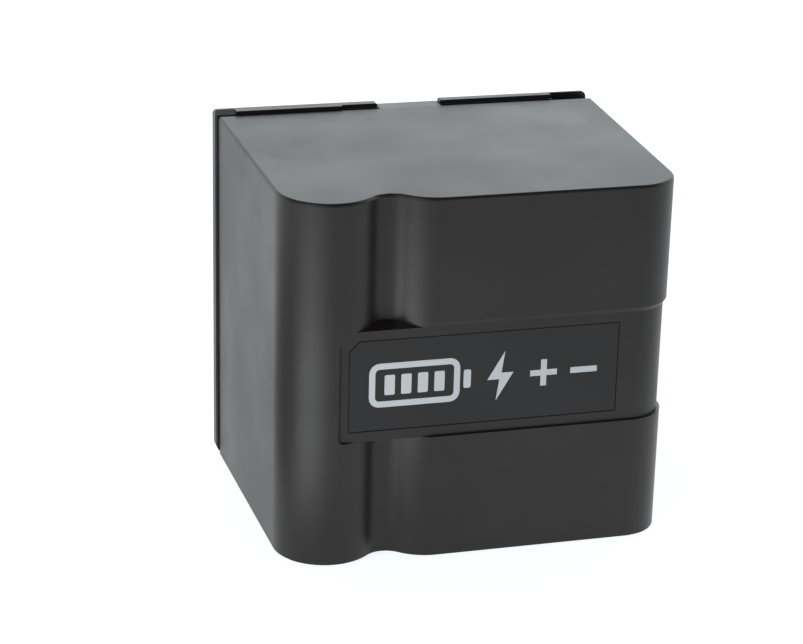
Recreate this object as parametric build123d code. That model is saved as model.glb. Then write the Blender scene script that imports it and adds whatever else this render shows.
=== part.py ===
from build123d import *
import math
import os

# Rechargeable battery block for a tripod laser scanner.
# Frame: x to the right seen from the label side, y from the label side towards the cap, z up.
# The origin is the middle of the block's footprint, on the surface that it stands on.
# Depths are measured from the front plane, and at(depth) turns one into y. All values are millimetres.

# ---- cells, which set the size of the block ----
CELL_RADIUS = 9.15
CELL_LENGTH = 65.0
CELL_PITCH_X = 19.0
CELL_PITCH_Y = 18.5
CELL_COLUMNS = 4
CELL_ROWS = 3
FIRST_ROW_DEPTH = 12.0
CELL_CENTRE_X = -0.35

# ---- housing ----
FRONT_WIDTH = 80.0
FRONT_HEIGHT = 75.3
SHELL_DEPTH = 59.0
SIDE_DRAFT = 0.0218
TOP_DRAFT = 0.0247
WALL = 1.7
FLOOR = 1.9
TOP_FILLET = 0.6
BOTTOM_FILLET = 0.2
BULGE_RADIUS = 10.5
VALLEY_RADIUS = 4.7
SHOULDER_RADIUS = 10.4
SHOULDER_X = -9.0
CORNER_RADIUS = 8.6

# ---- stepped band round the front and the right side ----
BAND_DEPTH = 0.65
BAND_LOW = 25.9
BAND_TOP_INNER = 49.0
BAND_TOP_OUTER = 50.0
BAND_LEFT_X = -29.6
BAND_END_DEPTH = 47.0
BAND_CORNER_FILLET = 1.5
BAND_SLANT_RUN = 8.9
BAND_SLANT_LOW = 4.0
BAND_SLANT_HIGH = 2.0
VALLEY_LEDGE_DEPTH = 4.1
BRIDGE_LEFT_X = -28.0
BRIDGE_RIGHT_X = -11.0
BRIDGE_REAR = 7.0

# ---- front label ----
LABEL_WIDTH = 55.2
LABEL_X = 0.25
LABEL_LOW = 28.15
LABEL_HIGH = 46.9
LABEL_CHAMFER = 2.0
LABEL_THICKNESS = 0.2
LABEL_GAP = 0.2
LABEL_SINK = 0.03

# ---- rear cap ----
OVERALL_DEPTH = 63.3
CAP_FRONT = 59.84
CAP_INNER = 61.4
CAP_HALF_WIDTH = 41.85
CAP_TOP = 76.78
CAP_BOTTOM_RADIUS = 2.0
CAP_TOP_RADIUS = 0.9
RIB_TOP = 77.49
RIB_END_RADIUS = 0.4
NOTCH_LEFT = -6.5
NOTCH_RIGHT = 7.4
NOTCH_FLOOR = 75.6
RIB_RIGHT_END = 41.1
RIB_RIGHT_RADIUS = 1.3
CAP_CORNER_RADIUS = 0.5
RIB_RAMP_X = -37.3
RIB_RAMP_REAR = 62.1
RIB_STEP_LEFT_X = -14.4
RIB_STEP_RIGHT_X = 32.5
RIB_OUTER_FRONT = 60.1
RIB_INNER_FRONT = 60.9
RIB_LIP_FRONT = 62.4
CAP_SIDE_CHAMFER = 0.35
CAP_REAR_FILLET = 0.45
TAB_THICKNESS = 1.0
TAB_CLEARANCE = 0.15
TAB_ROOT = 0.6
TAB_FILLET = 0.4
TONGUE_FRONT = 57.6
TONGUE_CLEARANCE = 0.15
TONGUE_THICKNESS = 1.1
SEAL_INSET = 1.1
FIT_CLEARANCE = 0.1

# ---- hooks under the cap's tongue ----
HOOK_X = 22.0
HOOK_HALF_WIDTH = 3.0
HOOK_LENGTH = 0.7
HOOK_DEPTH = 0.45
HOOK_CLEARANCE = 0.2

# ---- cap screws ----
SCREW_X = 36.35
SCREW_Z = 72.6
SCREW_HEAD_RADIUS = 1.9
SCREW_SHANK_RADIUS = 0.95
SCREW_HOLE_RADIUS = 1.15
SCREW_HEAD_HEIGHT = 1.0
SCREW_SINK = 0.3
SEAT_CLEARANCE = 0.25
SEAT_HEIGHT = 1.15
CROSS_HALF_LENGTH = 1.1
CROSS_HALF_WIDTH = 0.22
CROSS_DEPTH = 0.6
PILOT_RADIUS = 1.0
PILOT_END = 1.5
BOSS_RADIUS = 2.05
BOSS_FRONT = 49.0
BOSS_WEB_TOP = 75.4
TONGUE_GAP = 3.2

# ---- management board and what it carries ----
BOARD_FRONT = 58.45
BOARD_THICKNESS = 1.0
BOARD_HALF_WIDTH = 37.0
BOARD_LOW = 5.5
BOARD_HIGH = 69.5
PEG_X = 33.0
PEG_Z = 61.0
PEG_RADIUS = 1.0
PEG_SHOULDER = 0.8
BOARD_SHEET_HALF_WIDTH = 36.5
BOARD_SHEET_FRONT = 58.2
BOARD_SHEET_REAR = 58.4
BOARD_SHEET_LOW = 7.6
BOARD_SHEET_HIGH = 67.4
TRANSISTOR_X = 26.0
TRANSISTOR_HEIGHTS = (13.5, 21.5)
CHIP_X = -4.0
CHIP_Z = 38.0
CHIP_LEAD_COUNT = 8
CHIP_LEAD_PITCH = 0.8
TRANSISTOR_SIZE = (5.0, 6.0, 1.0)
CHIP_SIZE = (4.6, 7.8, 1.1)
CHIP_LEAD_SIZE = (6.6, 0.3, 0.3)
CAPACITOR_SIZE = (1.6, 0.8, 0.8)
RESISTOR_PLACE = (20.0, 31.0)
RESISTOR_SIZE = (6.4, 3.2, 0.6)
FUSE_PLACE = (-24.0, 30.0)
FUSE_SIZE = (9.5, 5.0, 1.3)
LED_SIZE = (1.6, 0.8, 0.65)
CAPACITOR_ROW_LOW = (-12.0, 3.0, 6, 30.0)
CAPACITOR_ROW_HIGH = (8.0, 2.6, 4, 44.0)

# ---- contacts ----
CONTACT_Z = 17.0
CARRIER_WIDTH = 34.0
CARRIER_HEIGHT = 9.0
CARRIER_FLANGE = 1.2
CARRIER_RADIUS = 1.0
CARRIER_REAR = 62.8
CONTACT_REAR = 63.0
CONTACT_HEIGHT = 6.0
CONTACT_FILLET = 0.15
POWER_CONTACT_WIDTH = 5.0
POWER_CONTACT_X = 12.5
DATA_CONTACT_WIDTH = 2.0
DATA_CONTACT_PITCH = 4.4
DATA_CONTACT_COUNT = 4

# ---- charge gauge ----
GAUGE_Z = 56.0
LIGHT_COUNT = 4
LIGHT_PITCH = 7.0
LIGHT_FIRST_X = -21.0
LIGHT_WIDTH = 4.6
LIGHT_HEIGHT = 2.0
LIGHT_REAR = 63.15
LIGHT_BAR_MARGIN = 3.2
LIGHT_BAR_HALF_HEIGHT = 2.2
LIGHT_BAR_LIFT = 0.8
BUTTON_X = 16.0
BUTTON_RADIUS = 3.6
BUTTON_BORE_RADIUS = 3.8
BUTTON_FLANGE_RADIUS = 4.5
BUTTON_REAR = 63.2
BUTTON_TRAVEL = 0.5
BUTTON_FLANGE_THICKNESS = 0.5
BUTTON_DISH_RADIUS = 14.0
BUTTON_DISH_DEPTH = 0.3
BUTTON_RIM_FILLET = 0.4
PLAY = 0.05
SWITCH_HALF = 2.3
SWITCH_HEIGHT = 0.75
SWITCH_CHAMFER = 0.4
SWITCH_HOLE_RADIUS = 1.2
PLUNGER_RADIUS = 1.0

# ---- rear label ----
REAR_LABEL_WIDTH = 52.0
REAR_LABEL_LOW = 29.0
REAR_LABEL_HIGH = 45.0
REAR_LABEL_RADIUS = 1.5
REAR_LABEL_RECESS = 0.25

# ---- stack of the cell pack, from the floor up ----
LOWER_FOAM_TOP = 3.0
INSULATOR_THICKNESS = 0.25
STRIP_THICKNESS = 0.2
TRAY_PLATE = 0.8
TRAY_POST_RADIUS = 3.5
TRAY_POST_HEIGHT = 9.0
TRAY_HOLE_RADIUS = 6.5
UPPER_FOAM_TOP = 73.2
FOAM_HALF_WIDTH = 35.0
FOAM_FRONT = 7.0
LOWER_FOAM_REAR = 55.0
UPPER_FOAM_REAR = 47.0
SHEET_REAR = 56.8
TRAY_REAR = 57.3
LINK_MARGIN = 5.0
LINK_PAD_RADIUS = 3.4
LINK_TAB_HALF_WIDTH = 2.5
LINK_PAD_RISE = 0.05
LINK_SLOT_HALF_WIDTH = 0.4
LINK_SLOT_HALF_LENGTH = 2.5
LINK_CORNER_RADIUS = 2.0
STRIP_TAB_X = 28.0
BOTTOM_TAB_X = 8.0
TOP_TAB_X = 18.0
TAB_REACH = 1.7
THERMISTOR_LOW = 34.5
THERMISTOR_HIGH = 39.5
BEAD_RADIUS = 1.5
LEAD_HALF_THICKNESS = 0.2
LEAD_LOW = 36.4
LEAD_HIGH = 37.6

# ---- details of one cell, measured from its top ----
CAN_ROUND = 0.6
GROOVE_START = 5.2
GROOVE_END = 3.8
GROOVE_DEPTH = 0.5
NIPPLE_RADIUS = 3.5
NIPPLE_HEIGHT = 0.4
RING_OUTER_RADIUS = 8.4
RING_INNER_RADIUS = 4.6
RING_THICKNESS = 0.2

LOWER_INSULATOR_Z = LOWER_FOAM_TOP
LOWER_STRIP_Z = LOWER_INSULATOR_Z + INSULATOR_THICKNESS
LOWER_TRAY_Z = LOWER_STRIP_Z + STRIP_THICKNESS
CELL_Z = LOWER_TRAY_Z + TRAY_PLATE
UPPER_TRAY_Z = CELL_Z + CELL_LENGTH
UPPER_STRIP_Z = UPPER_TRAY_Z + TRAY_PLATE
UPPER_INSULATOR_Z = UPPER_STRIP_Z + STRIP_THICKNESS
UPPER_FOAM_Z = UPPER_INSULATOR_Z + INSULATOR_THICKNESS
BOARD_REAR = BOARD_FRONT + BOARD_THICKNESS
SLANT = math.hypot(1.0, SIDE_DRAFT)
HALF_WIDTH = FRONT_WIDTH / 2


def at(depth):
    """The y of a depth behind the front plane."""
    return depth - OVERALL_DEPTH / 2


def roof_height(depth):
    """Height of the drafted top at a depth."""
    return FRONT_HEIGHT + TOP_DRAFT * depth


def block(x0, x1, depth0, depth1, z0, z1):
    """A box between two x values, two depths and two heights."""
    middle = ((x0 + x1) / 2, at((depth0 + depth1) / 2), (z0 + z1) / 2)
    return Pos(*middle) * Box(x1 - x0, depth1 - depth0, z1 - z0)


def rod_y(x, z, radius, depth0, depth1):
    """A round rod along y between two depths."""
    turned = Rot(90, 0, 0) * Cylinder(radius, depth1 - depth0)
    return Pos(x, at((depth0 + depth1) / 2), z) * turned


def rod_z(x, depth, radius, z0, z1):
    """A round rod along z between two heights."""
    return Pos(x, at(depth), (z0 + z1) / 2) * Cylinder(radius, z1 - z0)


def side_prism(points, x0, x1):
    """A prism along x whose section is a list of (depth, height) points."""
    section = make_face(Polyline([(x0, at(d), z) for d, z in points], close=True))
    return extrude(section, amount=x1 - x0, dir=(1, 0, 0))


def plan_prism(face, z0, z1):
    """A prism along z over a face drawn in the plan at height 0."""
    return Pos(0, 0, z0) * extrude(face, amount=z1 - z0, dir=(0, 0, 1))


def joined(pieces):
    """One shape from a list of shapes."""
    whole = pieces[0]
    for piece in pieces[1:]:
        whole = whole + piece
    return whole


def grouped(pieces):
    """Separate solids kept together in one group."""
    return Compound(children=pieces)


# ---------------------------------------------------------------- plan of the housing


def on_circle(centre, radius, degrees):
    """The point of a circle at an angle."""
    turn = math.radians(degrees)
    return (centre[0] + radius * math.cos(turn), centre[1] + radius * math.sin(turn))


def arc_between(centre, radius, start, end):
    """An arc from one angle to another."""
    first = on_circle(centre, radius, start)
    middle = on_circle(centre, radius, (start + end) / 2)
    return ThreePointArc(first, middle, on_circle(centre, radius, end))


def bulge_centre():
    """Centre of the bulge, which touches the front plane and the drafted left side."""
    return (-HALF_WIDTH - SIDE_DRAFT * BULGE_RADIUS + BULGE_RADIUS * SLANT, at(BULGE_RADIUS))


def corner_centre():
    """Centre of the right front corner, which touches the front plane and the right side."""
    return (HALF_WIDTH + SIDE_DRAFT * CORNER_RADIUS - CORNER_RADIUS * SLANT, at(CORNER_RADIUS))


def valley_centre():
    """Centre of the hollow arc that touches the bulge and the shoulder from outside."""
    left = bulge_centre()
    right = (SHOULDER_X, at(SHOULDER_RADIUS))
    reach_left = BULGE_RADIUS + VALLEY_RADIUS
    reach_right = SHOULDER_RADIUS + VALLEY_RADIUS
    span = math.dist(left, right)
    along = (span**2 + reach_left**2 - reach_right**2) / (2 * span)
    away = math.sqrt(reach_left**2 - along**2)
    ux = (right[0] - left[0]) / span
    uy = (right[1] - left[1]) / span
    return (left[0] + along * ux + away * uy, left[1] + along * uy - away * ux)


def heading(start, end):
    """Angle in degrees of the line from one point to another."""
    return math.degrees(math.atan2(end[1] - start[1], end[0] - start[0]))


def plan_face(inset, rear, draft=SIDE_DRAFT):
    """The housing's outline seen from above, moved inwards by inset and cut off at the depth rear."""
    slant = math.hypot(1.0, draft)
    lean = math.degrees(math.atan(SIDE_DRAFT))
    bulge, valley, corner = bulge_centre(), valley_centre(), corner_centre()
    shoulder = (SHOULDER_X, at(SHOULDER_RADIUS))
    to_valley = heading(bulge, valley)
    to_shoulder = heading(valley, shoulder)
    bulge_arc = arc_between(bulge, BULGE_RADIUS - inset, -180 + lean, to_valley)
    valley_arc = arc_between(valley, VALLEY_RADIUS + inset, to_valley + 180, to_shoulder)
    shoulder_arc = arc_between(shoulder, SHOULDER_RADIUS - inset, to_shoulder - 180, -90)
    corner_arc = arc_between(corner, CORNER_RADIUS - inset, -90, -lean)
    left_rear = (-HALF_WIDTH - draft * rear + inset * slant, at(rear))
    right_rear = (HALF_WIDTH + draft * rear - inset * slant, at(rear))
    lines = [
        Line(left_rear, bulge_arc @ 0),
        bulge_arc,
        valley_arc,
        shoulder_arc,
        Line(shoulder_arc @ 1, corner_arc @ 0),
        corner_arc,
        Line(corner_arc @ 1, right_rear),
        Line(right_rear, left_rear),
    ]
    return make_face(lines)


def under_roof(drop, rear):
    """Everything below the drafted roof lowered by drop, back to the depth rear."""
    front = -5.0
    points = [
        (front, -5.0),
        (rear, -5.0),
        (rear, roof_height(rear) - drop),
        (front, roof_height(front) - drop),
    ]
    return side_prism(points, -60.0, 60.0)


def outer_body():
    """The solid outside shape of the housing, with its top and bottom edges rounded."""
    body = plan_prism(plan_face(0.0, SHELL_DEPTH), 0.0, 85.0) & under_roof(0.0, SHELL_DEPTH)
    rear = at(SHELL_DEPTH)
    edges = body.edges().filter_by(lambda e: e.center().Y < rear - 0.5)
    body = fillet(edges.filter_by(lambda e: e.center().Z > FRONT_HEIGHT - 3), TOP_FILLET)
    edges = body.edges().filter_by(lambda e: e.center().Y < rear - 0.5)
    return fillet(edges.filter_by(lambda e: e.center().Z < 0.01), BOTTOM_FILLET)


# ---------------------------------------------------------------- the stepped band


def band_section(outward):
    """Section of the band's cutter: points (distance inwards, height), reaching outwards past the wall."""
    slope = (BAND_TOP_OUTER - BAND_TOP_INNER) / BAND_DEPTH
    return [
        (-outward, BAND_LOW),
        (BAND_DEPTH, BAND_LOW),
        (BAND_DEPTH, BAND_TOP_INNER),
        (0.0, BAND_TOP_OUTER),
        (-outward, BAND_TOP_OUTER + slope * outward),
    ]


def band_front_cutter():
    """The band's straight stretch, with its slanted and rounded left end on the bulge."""
    right = corner_centre()[0]
    reach = 2.0
    stretch = side_prism(band_section(reach), BAND_LEFT_X - reach, right)
    end = [
        (BAND_LEFT_X + BAND_DEPTH, at(BAND_DEPTH)),
        (right, at(BAND_DEPTH)),
        (right, at(-reach)),
        (BAND_LEFT_X - reach, at(-reach)),
    ]
    sloped = plan_prism(make_face(Polyline(end, close=True)), 0.0, 80.0)
    left = BAND_LEFT_X - 0.1
    window = [
        (left, BAND_LOW),
        (right, BAND_LOW),
        (right, BAND_TOP_OUTER + BAND_SLANT_LOW),
        (left + BAND_SLANT_RUN, BAND_TOP_OUTER + BAND_SLANT_HIGH),
        (left, BAND_TOP_OUTER - BAND_SLANT_LOW),
    ]
    opening = make_face(Polyline([(x, at(-5.0), z) for x, z in window], close=True))
    opening = extrude(opening, amount=10.0, dir=(0, 1, 0))
    sharp = opening.edges().filter_by(Axis.Y).sort_by(lambda e: abs(e.center().X - left) + e.center().Z)[0]
    return stretch & sloped & fillet(sharp, BAND_CORNER_FILLET)


def band_corner_cutter():
    """The band round the right front corner."""
    centre = corner_centre()
    lean = math.degrees(math.atan(SIDE_DRAFT))
    points = [(CORNER_RADIUS - inward, 0.0, z) for inward, z in band_section(2.0)]
    ring = revolve(make_face(Polyline(points, close=True)), Axis.Z, 90 - lean)
    return Pos(centre[0], centre[1], 0) * Rot(0, 0, -90) * ring


def band_side_cutter():
    """The band along the drafted right side, back to its blind end."""
    centre = corner_centre()
    lean = math.degrees(math.atan(SIDE_DRAFT))
    points = [(CORNER_RADIUS - inward, 0.0, z) for inward, z in band_section(2.0)]
    section = make_face(Polyline(points, close=True))
    run = extrude(section, amount=BAND_END_DEPTH - CORNER_RADIUS, dir=(0, 1, 0))
    return Pos(centre[0], centre[1], 0) * Rot(0, 0, -lean) * run


def valley_bridge():
    """Material that carries the band straight across the valley, with a sloping top."""
    slope = (BAND_TOP_OUTER - BAND_TOP_INNER) / (VALLEY_LEDGE_DEPTH - BAND_DEPTH)
    back = BRIDGE_REAR
    points = [
        (BAND_DEPTH, BAND_LOW),
        (back, BAND_LOW),
        (back, BAND_TOP_INNER + slope * (back - BAND_DEPTH)),
        (BAND_DEPTH, BAND_TOP_INNER),
    ]
    return side_prism(points, BRIDGE_LEFT_X, BRIDGE_RIGHT_X)


def label_outline(grow):
    """The label's outline, grown by a gap, as (x, z) points with its upper left corner cut off."""
    half = LABEL_WIDTH / 2 + grow
    low, high = LABEL_LOW - grow, LABEL_HIGH + grow
    return [
        (LABEL_X - half, low),
        (LABEL_X + half, low),
        (LABEL_X + half, high),
        (LABEL_X - half + LABEL_CHAMFER, high),
        (LABEL_X - half, high - LABEL_CHAMFER),
    ]


def label_plate(grow, depth0, depth1):
    """A plate with the label's outline between two depths."""
    face = make_face(Polyline([(x, at(depth0), z) for x, z in label_outline(grow)], close=True))
    return extrude(face, amount=depth1 - depth0, dir=(0, 1, 0))


# ---------------------------------------------------------------- housing


def cavity():
    """The room inside the housing, open at the rear."""
    room = plan_prism(plan_face(WALL, SHELL_DEPTH + 2), FLOOR, 85.0) & under_roof(FLOOR, SHELL_DEPTH + 2)
    low, high = BAND_LOW - WALL, BAND_TOP_OUTER + WALL
    inset = WALL + BAND_DEPTH
    shell = plan_prism(plan_face(-1.0, SHELL_DEPTH + 3), low, high)
    shell = shell - plan_prism(plan_face(inset, SHELL_DEPTH + 4), low - 1, high + 1)
    shell = shell - block(bulge_centre()[0], SHOULDER_X, inset, BULGE_RADIUS, low - 1, high + 1)
    keep = block(BAND_LEFT_X - WALL, 60.0, -5.0, BAND_END_DEPTH + WALL, low, high)
    return room - (shell & keep)


def boss_places():
    """The x values of the two screw bosses."""
    return (-SCREW_X, SCREW_X)


def screw_boss(x):
    """A boss under the roof that takes one cap screw."""
    rod = rod_y(x, SCREW_Z, BOSS_RADIUS, BOSS_FRONT, SHELL_DEPTH)
    web = block(x - BOSS_RADIUS, x + BOSS_RADIUS, BOSS_FRONT, SHELL_DEPTH, SCREW_Z, BOSS_WEB_TOP)
    pilot = rod_y(x, SCREW_Z, PILOT_RADIUS, BOSS_FRONT + PILOT_END, SHELL_DEPTH + 1)
    return rod + web - pilot


def housing():
    """The tub that holds the cells."""
    body = outer_body() + valley_bridge()
    body = body - band_front_cutter() - band_corner_cutter() - band_side_cutter()
    body = body - label_plate(LABEL_GAP, BAND_DEPTH - 1.0, BAND_DEPTH + LABEL_THICKNESS + LABEL_SINK)
    body = body - cavity()
    for x in boss_places():
        body = body + screw_boss(x)
    half = HOOK_HALF_WIDTH + HOOK_CLEARANCE
    front = TONGUE_FRONT - HOOK_CLEARANCE
    rear = TONGUE_FRONT + HOOK_LENGTH + HOOK_CLEARANCE
    for x in hook_places():
        body = body - block(x - half, x + half, front, rear, FLOOR - HOOK_DEPTH - HOOK_CLEARANCE, FLOOR + 0.5)
    return body + key_tab()


def key_tab():
    """The tab on the roof's rear edge that keys into the cap's notch."""
    rear = OVERALL_DEPTH - 0.1
    solid = under_roof(0.0, rear) - under_roof(TAB_THICKNESS, rear + 5)
    low, high = NOTCH_LEFT + TAB_CLEARANCE, NOTCH_RIGHT - TAB_CLEARANCE
    solid = solid & block(low, high, SHELL_DEPTH - TAB_ROOT, rear, 60.0, 90.0)
    edge = solid.edges().filter_by(Axis.X).sort_by(lambda e: e.center().Y + e.center().Z)[-1]
    return fillet(edge, TAB_FILLET)


# ---------------------------------------------------------------- rear cap


def cap_profile():
    """The cap's outline seen from the front, with the two ribs and the notch on its top."""
    left, right = -CAP_HALF_WIDTH, CAP_HALF_WIDTH
    points = [
        (left, 0.0),
        (right, 0.0),
        (right, NOTCH_FLOOR),
        (RIB_RIGHT_END, NOTCH_FLOOR),
        (RIB_RIGHT_END, RIB_TOP),
        (NOTCH_RIGHT, RIB_TOP),
        (NOTCH_RIGHT, NOTCH_FLOOR),
        (NOTCH_LEFT, NOTCH_FLOOR),
        (NOTCH_LEFT, RIB_TOP),
        (left, RIB_TOP),
    ]
    return make_face(Polyline([(x, at(CAP_FRONT), z) for x, z in points], close=True))


def corner_edges(solid, x, z):
    """The edges along y of a solid at one corner of its profile."""
    return solid.edges().filter_by(Axis.Y).filter_by(
        lambda e: abs(e.center().X - x) < 0.01 and abs(e.center().Z - z) < 0.01
    )


def cap_block():
    """The cap as a solid block with rounded corners and a rounded rear edge."""
    solid = extrude(cap_profile(), amount=OVERALL_DEPTH - CAP_FRONT, dir=(0, 1, 0))
    for x, z, radius in (
        (-CAP_HALF_WIDTH, 0.0, CAP_BOTTOM_RADIUS),
        (CAP_HALF_WIDTH, 0.0, CAP_BOTTOM_RADIUS),
        (CAP_HALF_WIDTH, NOTCH_FLOOR, CAP_CORNER_RADIUS),
        (RIB_RIGHT_END, RIB_TOP, RIB_RIGHT_RADIUS),
        (NOTCH_RIGHT, RIB_TOP, RIB_END_RADIUS),
        (NOTCH_LEFT, RIB_TOP, RIB_END_RADIUS),
        (-CAP_HALF_WIDTH, RIB_TOP, CAP_TOP_RADIUS),
    ):
        solid = fillet(corner_edges(solid, x, z), radius)
    rear = solid.faces().sort_by(Axis.Y)[-1]
    return fillet(rear.outer_wire().edges(), CAP_REAR_FILLET)


def rib_fronts():
    """Cutters that set back the front faces of the ribs and slope the cap's left corner."""
    high = RIB_TOP + 3
    cutters = [
        block(RIB_RAMP_X, RIB_STEP_LEFT_X, CAP_FRONT - 1, RIB_OUTER_FRONT, CAP_TOP, high),
        block(RIB_STEP_LEFT_X, NOTCH_LEFT + 1, CAP_FRONT - 1, RIB_INNER_FRONT, CAP_TOP, high),
        block(NOTCH_RIGHT - 1, RIB_STEP_RIGHT_X, CAP_FRONT - 1, RIB_INNER_FRONT, CAP_TOP, high),
        block(RIB_STEP_RIGHT_X, CAP_HALF_WIDTH + 1, CAP_FRONT - 1, RIB_LIP_FRONT, NOTCH_FLOOR, high),
    ]
    ramp = [
        (CAP_FRONT - 1, CAP_TOP - 0.15),
        (CAP_FRONT, CAP_TOP + 0.1),
        (RIB_RAMP_REAR, RIB_TOP),
        (RIB_RAMP_REAR, high),
        (CAP_FRONT - 1, high),
    ]
    cutters.append(side_prism(ramp, -45.0, RIB_RAMP_X))
    return cutters


def side_chamfer(side):
    """Cutter that bevels the cap's front edge on one side, which is -1 for left and 1 for right."""
    edge, reach = CAP_HALF_WIDTH, 1.0
    points = [
        (side * (edge - CAP_SIDE_CHAMFER), at(CAP_FRONT)),
        (side * (edge - CAP_SIDE_CHAMFER), at(CAP_FRONT - reach)),
        (side * (edge + reach), at(CAP_FRONT - reach)),
        (side * (edge + reach), at(CAP_FRONT + CAP_SIDE_CHAMFER + reach)),
    ]
    return plan_prism(make_face(Polyline(points, close=True)), -1.0, RIB_TOP + 3)


def frame_ring(half_outer, low_outer, high_outer, thickness, depth0, depth1):
    """A rectangular ring round the opening."""
    outside = block(-half_outer, half_outer, depth0, depth1, low_outer, high_outer)
    half, low, high = half_outer - thickness, low_outer + thickness, high_outer - thickness
    return outside - block(-half, half, depth0 - 1, depth1 + 1, low, high)


def tongue_size():
    """Half width, low edge and high edge of the tongue that enters the housing."""
    half = HALF_WIDTH + SIDE_DRAFT * SHELL_DEPTH - WALL * SLANT - TONGUE_CLEARANCE
    return half, FLOOR + TONGUE_CLEARANCE, roof_height(TONGUE_FRONT) - FLOOR - TONGUE_CLEARANCE


def hook_places():
    """The x values of the two hooks under the cap's tongue."""
    return (-HOOK_X, HOOK_X)


def rear_cap():
    """The cover with its ribs, windows, tongue, hooks and screw seats."""
    solid = cap_block()
    for cutter in rib_fronts() + [side_chamfer(-1), side_chamfer(1)]:
        solid = solid - cutter
    half, low, high = tongue_size()
    thick = TONGUE_THICKNESS
    solid = solid - block(-half + thick, half - thick, CAP_FRONT - 1, CAP_INNER, low + thick, high - thick)
    tongue = frame_ring(half, low, high, thick, TONGUE_FRONT, CAP_FRONT)
    for x in boss_places():
        left, right = x - TONGUE_GAP, x + TONGUE_GAP
        tongue = tongue - block(left, right, TONGUE_FRONT - 1, CAP_FRONT, SCREW_Z - 3, 80.0)
    solid = solid + tongue
    for x in hook_places():
        left, right = x - HOOK_HALF_WIDTH, x + HOOK_HALF_WIDTH
        rear = TONGUE_FRONT + HOOK_LENGTH
        solid = solid + block(left, right, TONGUE_FRONT, rear, FLOOR - HOOK_DEPTH, low + 0.5)
    for x in boss_places():
        solid = solid + rod_y(x, SCREW_Z, BOSS_RADIUS + 0.1, SHELL_DEPTH + 0.1, CAP_INNER + 0.2)
        solid = solid - rod_y(x, SCREW_Z, SCREW_HOLE_RADIUS, SHELL_DEPTH - 1, OVERALL_DEPTH + 1)
        solid = solid - screw_seat(x)
    for x in (-PEG_X, PEG_X):
        solid = solid + rod_y(x, PEG_Z, PEG_RADIUS, BOARD_FRONT + PLAY, CAP_INNER + 0.2)
        solid = solid + rod_y(x, PEG_Z, PEG_RADIUS + PEG_SHOULDER, BOARD_REAR, CAP_INNER + 0.2)
    solid = solid - contact_window()
    solid = solid - rear_label_plate(LABEL_GAP, OVERALL_DEPTH - REAR_LABEL_RECESS, OVERALL_DEPTH + 1)
    solid = solid - rod_y(BUTTON_X, GAUGE_Z, BUTTON_BORE_RADIUS, CAP_INNER - 1, OVERALL_DEPTH + 1)
    for x in light_places():
        solid = solid - light_prong(x, FIT_CLEARANCE, CAP_INNER - 1, OVERALL_DEPTH + 1)
    return solid


def screw_seat(x):
    """The countersink for one screw head."""
    radius = SCREW_HEAD_RADIUS + SEAT_CLEARANCE
    top = OVERALL_DEPTH - SEAT_CLEARANCE
    cone = Rot(-90, 0, 0) * Cone(SCREW_SHANK_RADIUS, radius, SEAT_HEIGHT)
    straight = rod_y(x, SCREW_Z, radius, top, OVERALL_DEPTH + 1)
    return Pos(x, at(top - SEAT_HEIGHT / 2), SCREW_Z) * cone + straight


def cap_screws():
    """Two countersunk self-tapping screws with cross recesses."""
    screws = []
    top = OVERALL_DEPTH - SCREW_SINK
    low = top - CROSS_DEPTH
    long, short = CROSS_HALF_LENGTH, CROSS_HALF_WIDTH
    for x in boss_places():
        cone = Rot(-90, 0, 0) * Cone(SCREW_SHANK_RADIUS, SCREW_HEAD_RADIUS, SCREW_HEAD_HEIGHT)
        head = Pos(x, at(top - SCREW_HEAD_HEIGHT / 2), SCREW_Z) * cone
        shank = rod_y(x, SCREW_Z, SCREW_SHANK_RADIUS, BOSS_FRONT + PILOT_END + 1, top - 0.9)
        flat = block(x - long, x + long, low, OVERALL_DEPTH, SCREW_Z - short, SCREW_Z + short)
        upright = block(x - short, x + short, low, OVERALL_DEPTH, SCREW_Z - long, SCREW_Z + long)
        screws.append(head + shank - flat - upright)
    return grouped(screws)


def cap_seal():
    """The rubber ring squeezed between the housing's rim and the cap."""
    outer = HALF_WIDTH + SIDE_DRAFT * SHELL_DEPTH - SEAL_INSET
    top = roof_height(SHELL_DEPTH) - SEAL_INSET
    return frame_ring(outer, SEAL_INSET, top, WALL - SEAL_INSET, SHELL_DEPTH, CAP_FRONT)


# ---------------------------------------------------------------- labels


def front_label():
    """The film label in its recess on the band."""
    depth = BAND_DEPTH + LABEL_SINK
    return label_plate(0.0, depth, depth + LABEL_THICKNESS)


def rear_label_plate(grow, depth0, depth1):
    """A plate with the rear label's rounded outline between two depths."""
    half = REAR_LABEL_WIDTH / 2 + grow
    plate = block(-half, half, depth0, depth1, REAR_LABEL_LOW - grow, REAR_LABEL_HIGH + grow)
    return fillet(plate.edges().filter_by(Axis.Y), REAR_LABEL_RADIUS + grow)


def rear_label():
    """The blank rating label on the cap."""
    front = OVERALL_DEPTH - REAR_LABEL_RECESS
    return rear_label_plate(0.0, front, front + LABEL_THICKNESS)


# ---------------------------------------------------------------- contacts


def contact_window():
    """The window in the cap for the contact carrier."""
    half_w = CARRIER_WIDTH / 2 + FIT_CLEARANCE
    low = CONTACT_Z - CARRIER_HEIGHT / 2 - FIT_CLEARANCE
    high = CONTACT_Z + CARRIER_HEIGHT / 2 + FIT_CLEARANCE
    window = block(-half_w, half_w, CAP_INNER - 1, OVERALL_DEPTH + 1, low, high)
    return fillet(window.edges().filter_by(Axis.Y), CARRIER_RADIUS + FIT_CLEARANCE)


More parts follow.
